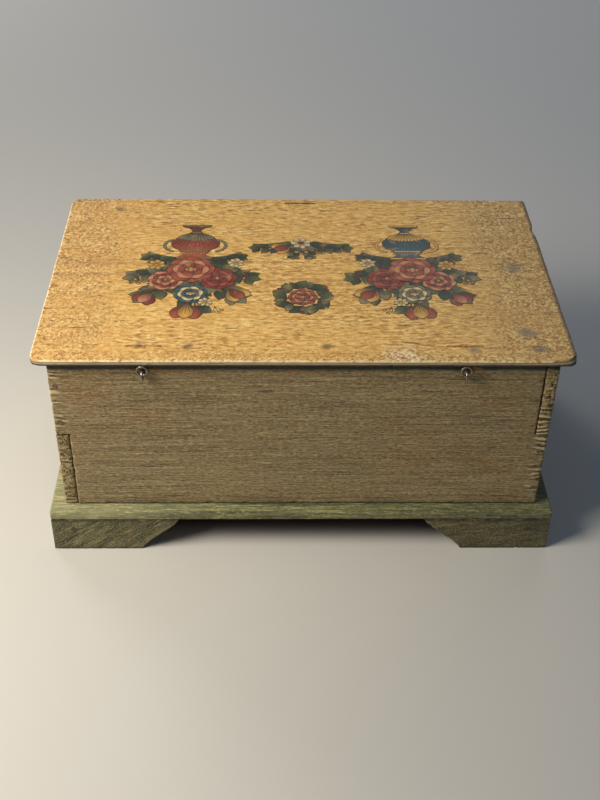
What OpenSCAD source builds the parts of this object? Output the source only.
// Jack in the box: a painted wooden casket on bracket feet, with a thin lid on
// linked wire eyes, a wire hook at the front and a sprung jester inside.
// The hinged back faces -Y, the hooked front faces +Y, and the feet stand on z = 0.

/* [Carcase] */
// Width of the box walls, outside
carcase_w = 283.4; // [240:0.2:340]
// Depth of the box walls, outside
carcase_d = 171.4; // [150:0.2:210]
// Height of the box walls
wall_h = 105; // [100:0.5:140]
// Thickness of the wall boards
wall_t = 7.2; // [6:0.1:10]
// Height where the upper fingers of the corner joints start, above the wall's foot
finger_split = 53.7; // [35:0.1:65]
// Open slit beside each finger, where the wood has shrunk
joint_gap = 0.5; // [0.2:0.1:1]

/* [Base] */
// Thickness of the base board
base_t = 6; // [5:0.1:9]
// Ledge of the base board in front of and behind the walls
ledge_y = 7.6; // [6:0.1:12]
// Ledge of the base board at each end
ledge_x = 8.8; // [6:0.1:12]
// Chamfer on the base board's upper arris
ledge_chamfer = 1.2; // [0.5:0.1:2]

/* [Feet] */
// Height of the bracket feet
foot_h = 24.3; // [18:0.1:30]
// Thickness of the bracket boards
foot_t = 6.5; // [5:0.1:8]
// Length of a bracket where it stands
foot_len_low = 53; // [40:0.5:60]
// Length of a bracket under the base board
foot_len_top = 77; // [65:0.5:90]
// Length of a short bracket, on the ends, where it stands
foot_short_low = 36; // [28:0.5:45]
// Side of the glue block behind each foot
glue_block = 13; // [9:0.5:18]
// Height by which a glue block stops short of the ground
glue_block_lift = 2.5; // [1:0.1:5]

/* [Lid] */
// Thickness of the lid board
lid_t = 4; // [3.5:0.1:6]
// Overhang of the lid at each end
lid_over_x = 8.3; // [5:0.1:12]
// Overhang of the lid at the hinged back
lid_over_back = 4; // [3.6:0.1:4.6]
// Radius of the lid's corners
lid_corner_r = 6; // [2:0.5:12]
// Edge rounding of the lid, taken as a chamfer
lid_chamfer = 0.8; // [0.3:0.1:1.2]
// Air between the lid and the walls
lid_seat_gap = 0.3; // [0.1:0.1:0.6]

/* [Wire fittings] */
// Radius of the hinge and latch wire
wire_r = 0.6; // [0.5:0.05:0.7]
// Radius of a wire eye, to the middle of the wire
eye_r = 2.8; // [2.6:0.1:3]
// Half the distance between an eye's two legs, to the middle of the wire
leg_off = 0.62; // [0.62:0.01:0.75]
// Distance of each hinge from the end of the box
hinge_in = 52.7; // [30:0.1:70]
// Distance of the hinge axis behind the back wall
hinge_out = 3.5; // [3.45:0.05:3.7]
// Where the lid's hinge wire comes out, in from the lid's back edge
clinch_in = 14; // [12:0.5:18]
// Length of a clinched wire end
clinch_len = 9; // [6:0.5:12]
// Clearance round a driven wire or nail
drive_clear = 0.08; // [0.05:0.01:0.15]
// Length of the hook from its bar to its tip
hook_len = 13; // [12:0.5:15]
// Distance of the hook's bar in front of the front wall
hook_out = 3.4; // [3.2:0.1:3.8]
// Half the length of the hook's bar
staple_half = 4; // [3:0.5:6]
// Radius of the loop at the hook's end, to the middle of the wire
hook_loop_r = 1.9; // [1.6:0.1:2]

/* [Nails] */
// Radius of a nail's shank
nail_r = 0.8; // [0.6:0.05:1]
// Radius of a nail's head
nail_head_r = 1.7; // [1.4:0.05:2.2]
// Thickness of a nail's head
nail_head_t = 0.7; // [0.5:0.1:1]
// Length of the nails in the corners and the base
nail_len = 21; // [18:0.5:26]
// Length of the nails in the feet
foot_nail_len = 14; // [12:0.5:16]

/* [Spring] */
// Radius of the round board that carries the spring
spring_board_r = 30; // [27:0.5:36]
// Thickness of the spring board
spring_board_t = 5; // [4:0.5:7]
// Radius of the coil, to the middle of the wire
coil_r = 15; // [13:0.5:16]
// Radius of the spring wire
coil_wire_r = 0.8; // [0.6:0.05:1]
// Number of turns
coil_turns = 6; // [5:1:7]
// Play of the coil between its two boards
coil_air = 0.1; // [0.05:0.05:0.2]
// Air between the pressed-down jack and the closed lid
jack_air = 1.5; // [1:0.5:4]

/* [Jack] */
// Radius of the disc on top of the spring
disc_r = 19; // [18:0.5:21]
// Thickness of that disc
disc_t = 5; // [4:0.5:6]
// Height of the turned bust
bust_h = 15.5; // [14:0.5:18]
// Radius of the neck dowel
neck_r = 6; // [5:0.5:7]
// Length of the neck dowel above the bust
neck_h = 11; // [9:0.5:13]
// Radius of the head at its widest
head_r = 17.5; // [15:0.5:19]
// Height of the head
head_h = 38; // [34:0.5:40]
// Radius of an ear
ear_r = 2.6; // [2:0.1:3]
// Radius of the peg nose
nose_r = 3; // [2.4:0.1:3.4]
// Reach of each horn of the cap past the head
horn_reach = 15; // [12:0.5:18]
// Radius of a horn where it is sewn on
horn_root_r = 8.2; // [7:0.1:9]
// Height by which a horn arches up before it droops
horn_rise = 9; // [7:0.5:10]
// Thickness of the gown's cloth
cloth_t = 1.2; // [0.8:0.1:1.6]
// Number of folds of the gown
gown_folds = 5; // [3:1:6]
// Thickness of the felt of the cap
felt_t = 1.4; // [1:0.1:2]
// Radius of the bells on the cap
bell_r = 3.6; // [3:0.1:4.2]
// Outer radius of the ruff
ruff_r = 22; // [20:0.5:25]
// Radius of the wire through the shoulders
shoulder_wire_r = 0.8; // [0.6:0.05:1]
// Distance of each arm from the middle of the figure
arm_x = 27; // [26.5:0.5:30]
// Length of an arm, from the shoulder wire to the middle of the hand
arm_len = 32; // [28:0.5:38]
// Slope of the arms at rest, in degrees below level
arm_slope = 8; // [4:1:10]

/* [Paper] */
// Thickness of the varnished paper cutouts
paper_t = 0.15; // [0.1:0.05:0.3]
// Distance of each flower vase from the middle of the lid
vase_x = 66; // [60:1:75]

/* [Hidden] */
$fn = 48;
fine = 96;      // segments of the larger round parts
small = 20;     // segments of wires and nails
touch = 0.01;   // overlap that joins the pieces of one solid

// Heights
base_z = foot_h;
wall_z = base_z + base_t;
wall_top = wall_z + wall_h;
lid_z = wall_top + lid_seat_gap;
lid_top = lid_z + lid_t;

// Plan
base_w = carcase_w + 2 * ledge_x;
base_d = carcase_d + 2 * ledge_y;
lid_w = carcase_w + 2 * lid_over_x;
lid_back = -carcase_d / 2 - lid_over_back;
lid_front = carcase_d / 2 + ledge_y;
lid_d = lid_front - lid_back;

// Hinge axis: the lid's eyes hang 2 radii and one wire under the lid
hinge_x = carcase_w / 2 - hinge_in;
hinge_y = -carcase_d / 2 - hinge_out;
hinge_z = lid_z - 2 * eye_r - wire_r;
clinch_y = lid_back + clinch_in;
clinch_z = lid_top - 0.1;

// Latch: the hook's bar and the lid's front eye
bar_y = carcase_d / 2 + hook_out;
latch_eye_r = 2.3;
latch_eye_y = bar_y - 3 * wire_r;
latch_eye_z = lid_z - latch_eye_r - wire_r;
bar_z = latch_eye_z - hook_len;
hook_tip = bar_y - carcase_d / 2 - wire_r - 0.4;
staple_depth = wall_t - 1.2;

// Cap: a felt skull cap, and two stuffed horns that droop to the sides, from the chin's height
head_steps = 20;
cap_air = 0.25;
cap_from = 12;
horn_steps = 12;
horn_out = head_r + horn_reach;
horn_root_x = 6;
horn_root_drop = 4;
horn_tip_r = 2;
horn_bend = 130;
function horn_droop(s) = head_h / 2 * s * s;
function horn_point(s) =
    [horn_root_x + (horn_out - horn_root_x) * s, 0,
     head_h - horn_root_drop + horn_rise * sin(horn_bend * s) - horn_droop(s)];
function horn_radius(s) = horn_root_r - (horn_root_r - horn_tip_r) * pow(s, 1.2);
horn_shares = [for (i = [0 : horn_steps]) i / horn_steps];
cap_top = max([for (s = horn_shares) horn_point(s).z + horn_radius(s)]);

// Jack, from the spring board up: the spring takes what height the figure leaves
spring_z = wall_z + spring_board_t;
neck_gap = 1.5;
coil_h = lid_z - jack_air - cap_top - neck_gap - bust_h - disc_t - spring_z;
disc_z = spring_z + coil_h;
bust_z = disc_z + disc_t;
neck_z = bust_z + bust_h;
head_z = neck_z + neck_gap;
shoulder_z = bust_z + bust_h / 2;
coil_flat = 0.8;
staple_wire_r = 0.35;
staple_angles = [115, 197, 280];
gown_air = 0.6;
gown_top_r = neck_r + gown_air + 1.5;
gown_low_z = wall_z + 1;
gown_fold_r = 2.2;
shoulder_r = disc_r + gown_air;
ruff_h = 4.5;
ruff_z = neck_z + cloth_t + 0.2;
nose_z = head_z + head_h * 0.46;
sleeve_r = 5;
sleeve_len = arm_len * 0.68;
hand_r = 4.2;

// Nail places, as shares of the wall's height and of the walls' lengths
low_nails = [0.125, 0.395];
high_nails = [0.6, 0.845];
long_nails = [-0.38, -0.13, 0.13, 0.38];
short_nails = [-0.27, 0.27];

// Colours
paint_grey = "#8b7c5f";
paint_green = "#56644a";
paint_ochre = "#d2a860";
wood_bare = "#a98355";
iron = "#4a4038";
steel_wire = "#6d6a66";
brick = "#9c4a33";
leaf_green = "#3f5c38";
ochre = "#c9973b";
linen = "#d9cdb2";
flesh = "#dcae88";
brass = "#b08d42";

// ---------- shapes that repeat ----------

// A ring of wire about Z
module wire_ring(radius, wire)
    rotate_extrude($fn = fine) translate([radius, 0]) circle(r = wire, $fn = small);

// A straight wire between two points
module wire_between(a, b, wire) {
    d = b - a;
    len = norm(d);
    translate(a) rotate([0, acos(d.z / len), atan2(d.y, d.x)]) cylinder(h = len, r = wire, $fn = small);
}

// A bent wire through a list of points, cut square at the first, with round elbows
elbow_swell = 1.03;
module bent_wire(points, wire) {
    for (i = [1 : len(points) - 1]) {
        wire_between(points[i - 1], points[i], wire);
        translate(points[i]) sphere(r = wire * elbow_swell, $fn = small);
    }
}

// A nail that points up, its head's underside at z = 0 and sunk below it
module nail(length, grow = 0) {
    cylinder(h = length - nail_head_t, r = nail_r + grow, $fn = small);
    translate([0, 0, -nail_head_t]) cylinder(h = nail_head_t + touch, r = nail_head_r + grow, $fn = small);
}

// Puts a nail's head flush with z = 0
module sunk_nail(length, grow = 0) translate([0, 0, nail_head_t]) nail(length, grow);

// A round tube swept along a path, with its own radius at each point
function unit(v) = v / norm(v);
function tangent(path, i) =
    unit(path[min(i + 1, len(path) - 1)] - path[max(i - 1, 0)]);
function ring(centre, along, radius, sides, aside) =
    let (u = unit(cross(along, aside)), v = cross(along, u))
    [for (k = [0 : sides - 1]) centre + radius * (cos(360 * k / sides) * u + sin(360 * k / sides) * v)];
module swept_tube(path, radii, sides, aside) {
    n = len(path);
    rings = [for (i = [0 : n - 1]) each ring(path[i], tangent(path, i), radii[i], sides, aside)];
    walls = [for (i = [0 : n - 2], k = [0 : sides - 1]) let (next = (k + 1) % sides)
        each [[i * sides + k, (i + 1) * sides + next, i * sides + next],
              [i * sides + k, (i + 1) * sides + k, (i + 1) * sides + next]]];
    ends = [[for (k = [0 : sides - 1]) k], [for (k = [sides - 1 : -1 : 0]) (n - 1) * sides + k]];
    polyhedron(points = rings, faces = concat(walls, ends), convexity = 10);
}

// ---------- walls ----------

// Outline of a wall board seen from outside: its upper half reaches the corner at
// the left, and its lower half at the right
module wall_outline(length) {
    cut = wall_t + joint_gap;
    polygon([[-length / 2 + cut, 0], [length / 2, 0], [length / 2, finger_split],
             [length / 2 - cut, finger_split], [length / 2 - cut, wall_h], [-length / 2, wall_h],
             [-length / 2, finger_split], [-length / 2 + cut, finger_split]]);
}

// The nails through a board's own two fingers
module finger_nails(length, grow = 0) {
    nail_x = length / 2 - wall_t / 2;
    for (share = high_nails)
        translate([-nail_x, 0, share * wall_h]) rotate([-90, 0, 0]) sunk_nail(nail_len, grow);
    for (share = low_nails)
        translate([nail_x, 0, share * wall_h]) rotate([-90, 0, 0]) sunk_nail(nail_len, grow);
}

// The neighbours' nails, which enter a board's shortened ends
module end_nails(length, grow = 0) {
    for (share = low_nails)
        translate([-length / 2, wall_t / 2, share * wall_h]) rotate([0, 90, 0]) sunk_nail(nail_len, grow);
    for (share = high_nails)
        translate([length / 2, wall_t / 2, share * wall_h]) rotate([0, -90, 0]) sunk_nail(nail_len, grow);
}

// A wall board with its outer face on y = 0 and its foot on z = 0
module wall_board(length) {
    difference() {
        translate([0, wall_t, 0]) rotate([90, 0, 0]) linear_extrude(wall_t) wall_outline(length);
        finger_nails(length, drive_clear);
        end_nails(length, drive_clear);
    }
}

// Puts a board, or what goes with it, on one of the four sides
module on_back() translate([0, -carcase_d / 2, wall_z]) children();
module on_front() translate([0, carcase_d / 2, wall_z]) rotate([0, 0, 180]) children();
module on_left() translate([-carcase_w / 2, 0, wall_z]) rotate([0, 0, -90]) children();
module on_right() translate([carcase_w / 2, 0, wall_z]) rotate([0, 0, 90]) children();

module back_board() color(paint_grey) difference() {
    on_back() wall_board(carcase_w);
    base_nail_set(drive_clear);
    for (side = [-1, 1]) wall_eye_slot(side * hinge_x);
}

module front_board() color(paint_grey) difference() {
    on_front() wall_board(carcase_w);
    base_nail_set(drive_clear);
    latch_staple_wire(drive_clear);
}

module left_end_board() color(paint_grey) difference() {
    on_left() wall_board(carcase_d);
    base_nail_set(drive_clear);
}

module right_end_board() color(paint_grey) difference() {
    on_right() wall_board(carcase_d);
    base_nail_set(drive_clear);
}

module carcase_nails() color(iron) {
    on_back() finger_nails(carcase_w);
    on_front() finger_nails(carcase_w);
    on_left() finger_nails(carcase_d);
    on_right() finger_nails(carcase_d);
}

// ---------- base and feet ----------

// The nails that come up through the base board into the walls
module base_nail_set(grow = 0) translate([0, 0, base_z]) {
    for (share = long_nails, side = [-1, 1])
        translate([share * carcase_w, side * (carcase_d - wall_t) / 2, 0]) sunk_nail(nail_len, grow);
    for (share = short_nails, side = [-1, 1])
        translate([side * (carcase_w - wall_t) / 2, share * carcase_d, 0]) sunk_nail(nail_len, grow);
}

module base_nails() color(iron) base_nail_set();

module base_board() color(paint_green) difference() {
    translate([-base_w / 2, -base_d / 2, base_z]) cube([base_w, base_d, base_t]);
    for (side = [-1, 1]) {
        translate([0, side * base_d / 2, wall_z]) rotate([45, 0, 0])
            cube([base_w + 2, ledge_chamfer * sqrt(2), ledge_chamfer * sqrt(2)], center = true);
        translate([side * base_w / 2, 0, wall_z]) rotate([0, 45, 0])
            cube([ledge_chamfer * sqrt(2), base_d + 2, ledge_chamfer * sqrt(2)], center = true);
    }
    base_nail_set(drive_clear);
    spring_board_nail_set(drive_clear);
}

// Side view of a bracket: a shallow cyma from the ground up to the base board
foot_steps = 10;
function cyma(low, top, s) = low + (top - low) * (0.55 * s + 0.45 * s * s * (3 - 2 * s));
module bracket_outline(low, top)
    polygon([[0, 0], for (i = [0 : foot_steps]) [cyma(low, top, i / foot_steps), foot_h * i / foot_steps],
             [0, foot_h]]);

// A bracket along +X from a corner at the origin, mitred there, its outer face on y = 0
module bracket(low, top) intersection() {
    translate([0, foot_t, 0]) rotate([90, 0, 0]) linear_extrude(foot_t) bracket_outline(low, top);
    linear_extrude(foot_h) polygon([[0, 0], [top + 1, 0], [top + 1, foot_t], [foot_t, foot_t]]);
}

// Puts the pieces of the back left foot on any corner: x and y are -1 or 1
module on_corner(x, y) {
    mirror([x > 0 ? 1 : 0, 0, 0]) mirror([0, y > 0 ? 1 : 0, 0])
        translate([-base_w / 2, -base_d / 2, 0]) children();
}

foot_short_top = foot_short_low + foot_len_top - foot_len_low;
nail_at_block = foot_t + glue_block / 2;
foot_nail_high = foot_h * 0.68;
foot_nail_low = foot_h * 0.36;

module foot_nail_pair(grow = 0) {
    translate([nail_at_block, 0, foot_nail_high]) rotate([-90, 0, 0]) sunk_nail(foot_nail_len, grow);
    translate([0, nail_at_block, foot_nail_low]) rotate([0, 90, 0]) sunk_nail(foot_nail_len, grow);
}

module long_bracket(x, y) color(paint_green) on_corner(x, y) difference() {
    bracket(foot_len_low, foot_len_top);
    foot_nail_pair(drive_clear);
}

module short_bracket(x, y) color(paint_green) on_corner(x, y) difference() {
    mirror([1, -1, 0]) bracket(foot_short_low, foot_short_top);
    foot_nail_pair(drive_clear);
}

module glue_blocks() color(wood_bare) for (x = [-1, 1], y = [-1, 1]) on_corner(x, y) difference() {
    translate([foot_t, foot_t, glue_block_lift]) linear_extrude(foot_h - glue_block_lift)
        polygon([[0, 0], [glue_block, 0], [glue_block, glue_block / 2], [glue_block / 2, glue_block],
                 [0, glue_block]]);
    foot_nail_pair(drive_clear);
}

module foot_nails() color(iron) for (x = [-1, 1], y = [-1, 1]) on_corner(x, y) foot_nail_pair();

// ---------- hinges ----------

// Eye in the back wall: a ring across the hinge axis and two legs driven through
// the board, then bent aside against its inner face
module wall_eye(x) color(steel_wire) translate([x, hinge_y, hinge_z]) {
    rotate([0, 90, 0]) wire_ring(eye_r, wire_r);
    leg_start = sqrt(eye_r * eye_r - leg_off * leg_off);
    inner = hinge_out + wall_t + wire_r;
    for (way = [-1, 1])
        bent_wire([[0, leg_start, way * leg_off], [0, inner, way * leg_off],
                   [way * clinch_len, inner, way * leg_off]], wire_r);
}

// The slot that those two legs need in the board
module wall_eye_slot(x) translate([x, -carcase_d / 2 - 1, hinge_z]) rotate([-90, 0, 0]) {
    hole = wire_r + drive_clear;
    for (way = [-1, 1]) translate([0, way * leg_off, 0]) cylinder(h = wall_t + 2, r = hole, $fn = small);
    translate([-hole, -leg_off, 0]) cube([2 * hole, 2 * leg_off, wall_t + 2]);
}

// Path of one leg of an eye in the lid: from the top of the ring, up through the
// board, then bent aside along a groove in its top
function lid_leg(x, y, z, out_y, way) =
    [[x + way * leg_off, y, z], [x + way * leg_off, out_y, clinch_z],
     [x + way * (leg_off + clinch_len), out_y, clinch_z]];

module lid_eye(x, y, centre_z, radius, out_y) color(steel_wire) {
    translate([x, y, centre_z]) rotate([90, 0, 0]) wire_ring(radius, wire_r);
    for (way = [-1, 1]) bent_wire(lid_leg(x, y, centre_z + radius, out_y, way), wire_r);
}

// The slanting hole and the grooves that such an eye needs in the lid
module lid_eye_slot(x, y, z, out_y) {
    hole = wire_r + drive_clear;
    for (way = [-1, 1]) bent_wire(lid_leg(x, y, z, out_y, way), hole);
    slope = atan2(clinch_z - z, out_y - y);
    translate([x, y, z]) rotate([slope, 0, 0])
        translate([-leg_off, 0, -hole]) cube([2 * leg_off, norm([clinch_z - z, out_y - y]), 2 * hole]);
}

module hinge_lid_eye(x) lid_eye(x, hinge_y, hinge_z + eye_r, eye_r, clinch_y);

// ---------- latch ----------

module latch_staple_wire(grow = 0) {
    back = carcase_d / 2 - staple_depth;
    bent_wire([[-staple_half, back, bar_z], [-staple_half, bar_y, bar_z],
               [staple_half, bar_y, bar_z], [staple_half, back, bar_z]], wire_r + grow);
}

module latch_staple() color(steel_wire) latch_staple_wire();

module latch_lid_eye() lid_eye(0, latch_eye_y, latch_eye_z, latch_eye_r, latch_eye_y + 0.01);

// The hook hangs from its bar, its tip turned out
module latch_hook() color(steel_wire) translate([0, bar_y, bar_z]) {
    rotate([0, 90, 0]) wire_ring(hook_loop_r, wire_r);
    bent_wire([[0, 0, -hook_loop_r], [0, 0, -hook_len], [0, hook_tip, -hook_len]], wire_r);
}

// ---------- lid ----------

module lid_plan(inset) {
    round = max(lid_corner_r - inset, 0.1);
    w = lid_w - 2 * inset;
    d = lid_d - 2 * inset;
    translate([0, (lid_front + lid_back) / 2]) {
        square([w - 2 * round, d], center = true);
        square([w, d - 2 * round], center = true);
        for (x = [-1, 1], y = [-1, 1])
            translate([x * (w / 2 - round), y * (d / 2 - round)]) circle(r = round);
    }
}

module lid_board() color(paint_ochre) difference() {
    union() {
        translate([0, 0, lid_z]) linear_extrude(lid_t - lid_chamfer) lid_plan(0);
        translate([0, 0, lid_z]) linear_extrude(lid_t) lid_plan(lid_chamfer);
    }
    for (side = [-1, 1]) lid_eye_slot(side * hinge_x, hinge_y, hinge_z + 2 * eye_r, clinch_y);
    lid_eye_slot(0, latch_eye_y, latch_eye_z + latch_eye_r, latch_eye_y + 0.01);
}

// A vase of flowers cut from paper: [x, y, radius] of each bloom, +Y towards the foot
vase_blooms = [[0, -26, 12], [-19, -17, 10], [19, -17, 10], [-12, -2, 9], [12, -2, 9], [0, -11, 8],
               [-26, -35, 6], [26, -35, 6], [0, -43, 6]];
vase_foot = 46;
module vase_plan() {
    for (b = vase_blooms) translate([b.x, b.y]) circle(r = b.z);
    for (b = vase_blooms) polygon([[b.x - 1.5, b.y], [b.x + 1.5, b.y], [2, 12], [-2, 12]]);
    polygon([[-17, 8], [17, 8], [13, 26], [5, 34], [4, 40], [10, vase_foot], [-10, vase_foot], [-4, 40],
             [-5, 34], [-13, 26]]);
}

// A spray of leaves and berries
spray_dots = [[0, 0, 5], [-9, -4, 4], [9, -4, 4], [-16, -11, 3.5], [16, -11, 3.5]];
module spray_plan() {
    for (d = spray_dots) translate([d.x, d.y]) circle(r = d.z);
    polygon([[-16, -12], [0, -2], [16, -12], [16, -10], [0, 2], [-16, -10]]);
}

spray_front = 34;
spray_back = -30;
module cutout_plan() {
    for (side = [-1, 1]) translate([side * vase_x, 0]) vase_plan();
    translate([0, spray_front]) spray_plan();
    translate([0, spray_back]) rotate(180) spray_plan();
}

module paper_cutouts() color(brick)
    translate([0, (lid_front + lid_back) / 2, lid_top]) linear_extrude(paper_t) cutout_plan();

// ---------- spring and its board ----------

module spring_board_nail_set(grow = 0) for (a = [45 : 90 : 315])
    rotate(a) translate([spring_board_r - 7, 0, spring_z]) rotate([180, 0, 0])
        sunk_nail(spring_board_t + base_t - 1, grow);

module spring_board_nails() color(iron) spring_board_nail_set();

module spring_board() color(wood_bare) difference() {
    translate([0, 0, wall_z]) cylinder(h = spring_board_t, r = spring_board_r, $fn = fine);
    spring_board_nail_set(drive_clear);
    coil_staples(spring_z, 1, drive_clear);
    tack_ring(drive_clear);
}

// Height of the coil's wire above the spring board at a turn
function coil_rise(turn) = let (steep = coil_turns - 2 * coil_flat)
    coil_air + coil_wire_r
    + (coil_h - 2 * coil_air - 2 * coil_wire_r) * min(max((turn - coil_flat) / steep, 0), 1);
coil_points = [for (a = [0 : 15 : 360 * coil_turns])
    [coil_r * cos(a), coil_r * sin(a), spring_z + coil_rise(a / 360)]];

module jack_spring() color(steel_wire)
    swept_tube(coil_points, [for (p = coil_points) coil_wire_r], 8, [0, 0, 1]);

// Staples over the coil's flat end turn: way is 1 on a board below it and -1 above it
module coil_staples(face, way, grow = 0) for (a = staple_angles) {
    top = face + way * (2 * coil_wire_r + 2 * coil_air + staple_wire_r);
    foot = face - way * 3;
    reach = coil_wire_r + coil_air + staple_wire_r;
    rotate(way > 0 ? a : 360 * coil_turns - a)
        bent_wire([[coil_r - reach, 0, foot], [coil_r - reach, 0, top],
                   [coil_r + reach, 0, top], [coil_r + reach, 0, foot]], staple_wire_r + grow);
}

module spring_foot_staples() color(steel_wire) coil_staples(spring_z, 1);
module spring_top_staples() color(steel_wire) coil_staples(disc_z, -1);

// Tacks that hold the gown's hem to the edge of the spring board
tack_z = wall_z + spring_board_t / 2;
tack_len = 5;
module tack_ring(grow = 0) for (a = [0 : 45 : 315])
    rotate(a) translate([spring_board_r + gown_air + cloth_t + 0.4, 0, tack_z]) rotate([0, -90, 0]) {
        cylinder(h = tack_len, r = 0.4 + grow, $fn = small);
        cylinder(h = 0.4 + grow, r = 1.2 + grow, $fn = small);
    }

module gown_tacks() color(iron) tack_ring();

// ---------- jack ----------

// Cloth of a given thickness, turned from a middle line
module turned_cloth(line) rotate_extrude($fn = fine)
    polygon(concat([for (p = line) p + [cloth_t / 2, 0]],
                   [for (i = [len(line) - 1 : -1 : 0]) line[i] - [cloth_t / 2, 0]]));

// Skirt, gathered in folds over the spring: its hem is tacked to the spring board
gown_hem_r = spring_board_r + gown_air + cloth_t / 2;
gown_waist_r = shoulder_r + cloth_t / 2;
skirt_fold_z = spring_z + 1;
fold_steps = 8;
skirt_line = concat(
    [[gown_hem_r, gown_low_z], [gown_hem_r, skirt_fold_z]],
    [for (i = [1 : gown_folds * fold_steps]) let (s = i / (gown_folds * fold_steps))
        [gown_hem_r + (gown_waist_r - gown_hem_r) * s + gown_fold_r * (1 - cos(360 * gown_folds * s)) / 2,
         skirt_fold_z + (disc_z - skirt_fold_z) * s]]);
module gown_skirt() color(brick) difference() {
    turned_cloth(skirt_line);
    tack_ring(drive_clear);
}

// Bodice over the bust, sewn to the skirt at the waist and gathered at the neck
module gown_bodice() color(brick) difference() {
    turned_cloth([[gown_waist_r, disc_z], [gown_waist_r, shoulder_z + 1],
                  [gown_top_r + cloth_t / 2, neck_z + 0.4]]);
    shoulder_pin(drive_clear + 0.2);
}

module spring_disc() color(wood_bare) difference() {
    translate([0, 0, disc_z]) cylinder(h = disc_t, r = disc_r, $fn = fine);
    coil_staples(disc_z, -1, drive_clear);
}

// Turned bust with the neck dowel in one piece
module bust() color(wood_bare) difference() {
    rotate_extrude($fn = fine)
        polygon([[0, bust_z], [disc_r - 0.5, bust_z], [disc_r - 0.5, shoulder_z], [neck_r + 1.5, neck_z],
                 [neck_r, neck_z], [neck_r, neck_z + neck_h], [0, neck_z + neck_h]]);
    shoulder_pin(drive_clear);
}

// Wire through the shoulders, on which both arms swing
shoulder_end = arm_x + 3.2;
module shoulder_pin(grow = 0) translate([-shoulder_end, 0, shoulder_z]) rotate([0, 90, 0])
    cylinder(h = 2 * shoulder_end, r = shoulder_wire_r + grow, $fn = small);

module shoulder_wire() color(steel_wire) {
    shoulder_pin();
    for (side = [-1, 1])
        translate([side * (shoulder_end + 0.3), 0, shoulder_z]) sphere(r = 1.3, $fn = small);
}

// Half outline of the head, chin down: a wide skull over a narrower jaw
function head_outline(grow, from) = [for (i = [from : head_steps]) let (a = -90 + 180 * i / head_steps)
    [(head_r + grow) * cos(a) * (a < 0 ? 1 - 0.16 * pow(-sin(a), 2) : 1),
     head_z + head_h / 2 + (head_h / 2 + grow) * sin(a)]];

module head() color(flesh) difference() {
    union() {
        rotate_extrude($fn = fine)
            polygon(concat([[0, head_z]], head_outline(0, 1), [[0, head_z + head_h]]));
        for (side = [-1, 1]) translate([side * head_r * 0.97, 0, nose_z]) sphere(r = ear_r, $fn = small);
    }
    translate([0, 0, head_z - 1]) cylinder(h = neck_z + neck_h - head_z + 1.1, r = neck_r + drive_clear);
    translate([0, head_r - nose_sunk - 0.2, nose_z]) rotate([-90, 0, 0])
        cylinder(h = nose_sunk + 2, r = nose_r / 2 + drive_clear, $fn = small);
}

// Peg nose, glued into the face
nose_sunk = 2.8;
nose_tip_r = nose_r - 0.8;
module nose() color(flesh) translate([0, head_r - nose_sunk, nose_z]) rotate([-90, 0, 0]) {
    cylinder(h = nose_sunk + 1, r = nose_r / 2, $fn = small);
    translate([0, 0, nose_sunk + 0.2]) cylinder(h = nose_r + 0.2, r1 = nose_r, r2 = nose_tip_r, $fn = small * 2);
    translate([0, 0, nose_sunk + nose_r + 0.4]) sphere(r = nose_tip_r, $fn = small * 2);
}

module ruff() color(linen) rotate_extrude($fn = fine)
    polygon([[neck_r + 0.4, ruff_z], [ruff_r - 3, ruff_z - 0.6], [ruff_r, ruff_z + ruff_h * 0.25],
             [ruff_r, ruff_z + ruff_h * 0.6], [ruff_r - 3, ruff_z + ruff_h * 0.8],
             [head_r * 0.62, ruff_z + ruff_h * 0.45], [neck_r + 0.4, ruff_z + 0.9]]);

cap_rim = head_outline(cap_air + felt_t, cap_from);
horn_path = [for (s = horn_shares) horn_point(s) + [0, 0, head_z]];
horn_radii = [for (s = horn_shares) horn_radius(s)];

module cap() color(leaf_green) difference() {
    union() {
        rotate_extrude($fn = fine) polygon(concat([[0, cap_rim[0].y]], cap_rim, [[0, head_z + head_h]]));
        for (side = [0, 1]) mirror([side, 0, 0]) swept_tube(horn_path, horn_radii, 16, [0, 1, 0]);
    }
    rotate_extrude($fn = fine)
        polygon(concat([[0, head_z]], head_outline(cap_air, 1), [[0, head_z + head_h + cap_air]]));
}

// A bell sewn to the tip of each horn
bell_from_tip = tangent(horn_path, horn_steps) * (bell_r + 0.1);
module cap_bells() color(brass) for (side = [0, 1]) mirror([side, 0, 0])
    translate(horn_path[horn_steps] + bell_from_tip) difference() {
        sphere(r = bell_r);
        translate([-bell_r, -0.4, -bell_r - 1]) cube([2 * bell_r, 0.8, bell_r * 0.7 + 1]);
    }

// ---------- arms ----------

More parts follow.
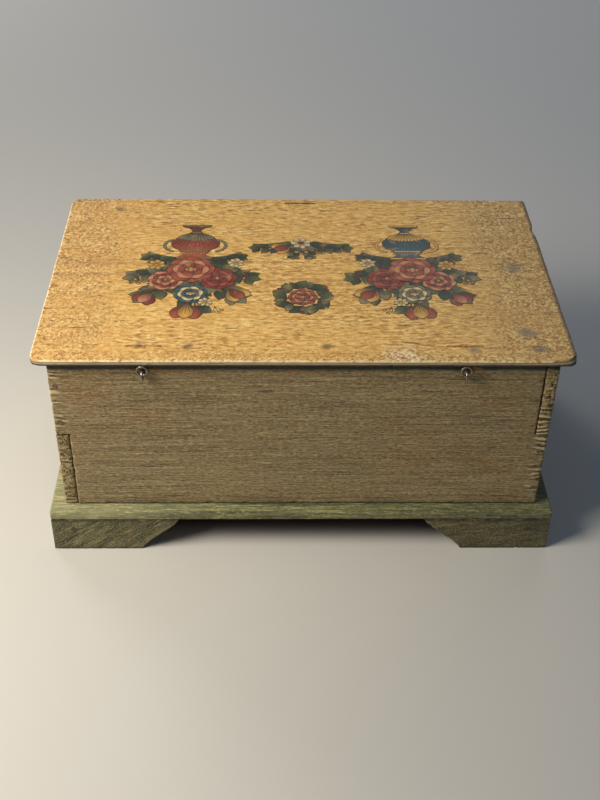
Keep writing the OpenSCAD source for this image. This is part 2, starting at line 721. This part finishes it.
// An arm points forward and a little down from the shoulder wire
module on_arm(side) translate([side * arm_x, 0, shoulder_z]) rotate([-90 - arm_slope, 0, 0]) children();

module arm(side) color(flesh) difference() {
    on_arm(side) {
        rotate([0, 90, 0]) translate([0, 0, -1.8]) cylinder(h = 3.6, r = 3.2);
        cylinder(h = arm_len, r = 1.9);
        translate([0, 0, arm_len]) sphere(r = hand_r);
    }
    shoulder_pin(0.1);
}

// Cloth sleeve round the arm, open at the cuff
sleeve_from = 4;
module sleeve(side) color(brick) on_arm(side) rotate_extrude()
    polygon([[2.2, sleeve_from], [sleeve_r - 1.6, sleeve_from], [sleeve_r, sleeve_from + 6],
             [sleeve_r + 0.6, sleeve_from + sleeve_len], [sleeve_r - 0.6, sleeve_from + sleeve_len],
             [sleeve_r - cloth_t, sleeve_from + 6.6], [2.2, sleeve_from + 1.6]]);

// ---------- the assembly ----------

base_board();
back_board();
front_board();
left_end_board();
right_end_board();
long_bracket(-1, -1);  // foot_back_left_long
short_bracket(-1, -1);  // foot_back_left_short
long_bracket(1, -1);  // foot_back_right_long
short_bracket(1, -1);  // foot_back_right_short
long_bracket(-1, 1);  // foot_front_left_long
short_bracket(-1, 1);  // foot_front_left_short
long_bracket(1, 1);  // foot_front_right_long
short_bracket(1, 1);  // foot_front_right_short
glue_blocks();
carcase_nails();
base_nails();
foot_nails();
wall_eye(-hinge_x);  // hinge_wall_eye_left
wall_eye(hinge_x);  // hinge_wall_eye_right
latch_staple();
spring_board();
spring_board_nails();
spring_foot_staples();
gown_tacks();
jack_spring();
gown_skirt();
lid_board();
hinge_lid_eye(-hinge_x);  // hinge_lid_eye_left
hinge_lid_eye(hinge_x);  // hinge_lid_eye_right
latch_lid_eye();
paper_cutouts();
latch_hook();
spring_disc();
spring_top_staples();
bust();
shoulder_wire();
gown_bodice();
head();
nose();
ruff();
cap();
cap_bells();
arm(-1);  // arm_left
sleeve(-1);  // sleeve_left
arm(1);  // arm_right
sleeve(1);  // sleeve_right
